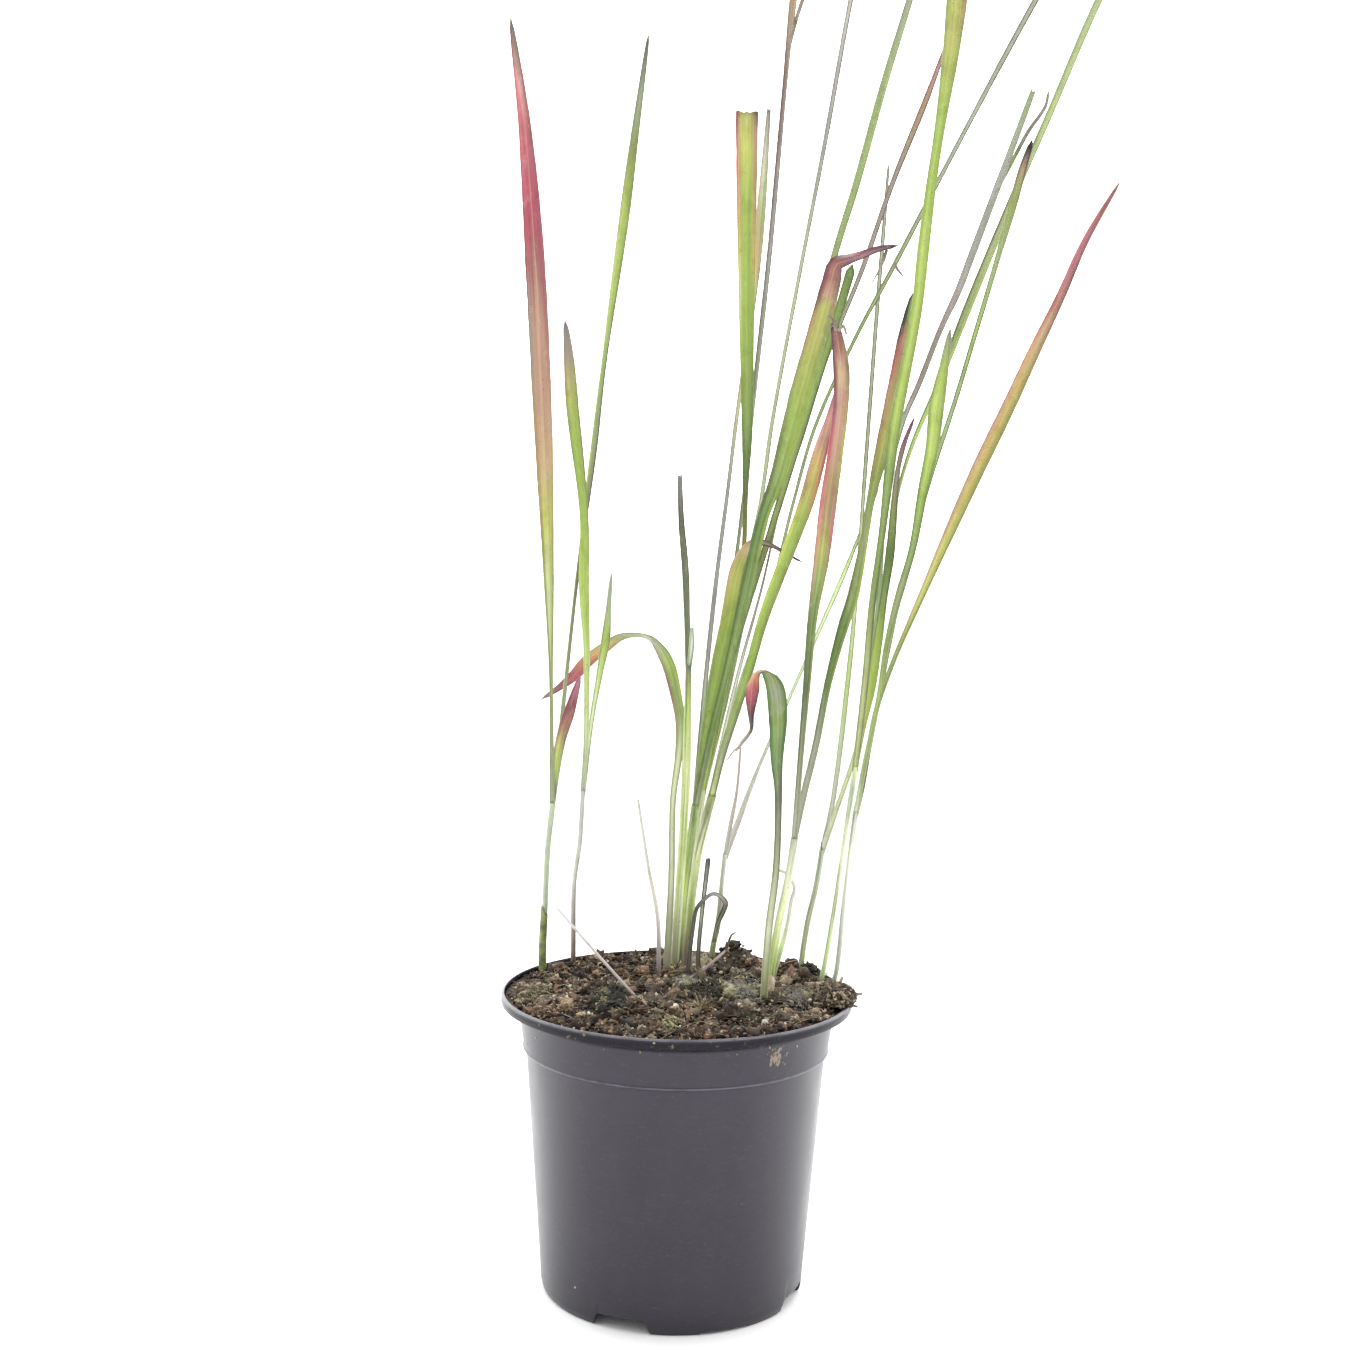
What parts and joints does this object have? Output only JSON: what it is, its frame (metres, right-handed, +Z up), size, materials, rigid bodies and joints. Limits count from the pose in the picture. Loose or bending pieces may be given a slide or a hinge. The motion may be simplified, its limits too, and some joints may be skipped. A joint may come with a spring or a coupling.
{
  "type": "potted ornamental grass",
  "caption": "Tall red-tipped ornamental grass in a round plastic nursery pot, with arching and upright blades standing in bark soil.",
  "frame": {"origin": "centre of the pot's underside, on the surface it stands on", "axes": "+Z up along the pot's axis, -Y towards the viewer of the pot's front, +X to that viewer's right"},
  "size_m": [0.244, 0.238, 0.552],
  "materials": {
    "pot": "dark grey-black moulded polypropylene, satin, dusty in places",
    "soil": "moist coir and bark potting mix with perlite and a little moss",
    "bark_clump": "dry coir and bark crumb",
    "shoot": "pale green rolled leaf sheaths, satin",
    "green_blade": "green grass blade with parallel veins, satin",
    "lime_blade": "yellow-green grass blade with parallel veins, satin",
    "red_blade": "green grass blade that turns blood red towards the tip, satin",
    "purple_blade": "green grass blade that turns dull purple towards the tip, satin",
    "dry_straw": "dry straw-coloured grass, matt",
    "dead_blade": "dead blackish grass, matt"
  },
  "bodies": {
    "root": {"bark_clump": "bark_clump", "curled_leaf": "dead_blade", "dark_stub": "dead_blade", "leaf_arch": "green_blade", "leaf_back_short": "green_blade", "leaf_back_wide": "green_blade", "leaf_bent_purple": "purple_blade", "leaf_bent_rear": "green_blade", "leaf_bright": "lime_blade", "leaf_brown_thin": "green_blade", "leaf_cut_broad": "green_blade", "leaf_cut_dark": "green_blade", "leaf_cut_slim": "green_blade", "leaf_dark_tip": "green_blade", "leaf_dry_long": "dry_straw", "leaf_dry_short": "dry_straw", "leaf_far_stalk": "green_blade", "leaf_far_thin": "green_blade", "leaf_front_long": "green_blade", "leaf_grey_cut": "purple_blade", "leaf_hooked": "green_blade", "leaf_inner_lime": "lime_blade", "leaf_left_long": "red_blade", "leaf_left_short": "green_blade", "leaf_left_thin": "green_blade", "leaf_lime_red": "lime_blade", "leaf_red_broad": "red_blade", "leaf_right_lime": "lime_blade", "leaf_right_red": "red_blade", "leaf_stub": "green_blade", "leaf_tall_left": "green_blade", "leaf_tall_lime": "lime_blade", "leaf_tall_mid": "green_blade", "leaf_tall_right": "green_blade", "leaf_wide_green": "green_blade", "pot": "pot", "shoot_centre": "shoot", "shoot_centre_back": "shoot", "shoot_centre_rear": "shoot", "shoot_centre_right": "shoot", "shoot_dry": "dry_straw", "shoot_front": "shoot", "shoot_left": "shoot", "shoot_left_back": "shoot", "shoot_right_inner": "shoot", "shoot_right_middle": "shoot", "shoot_right_outer": "shoot", "soil": "soil", "straw_left": "dry_straw", "straw_middle": "dry_straw", "straw_short": "dry_straw", "tendril": "dry_straw"}
  },
  "joints": []
}
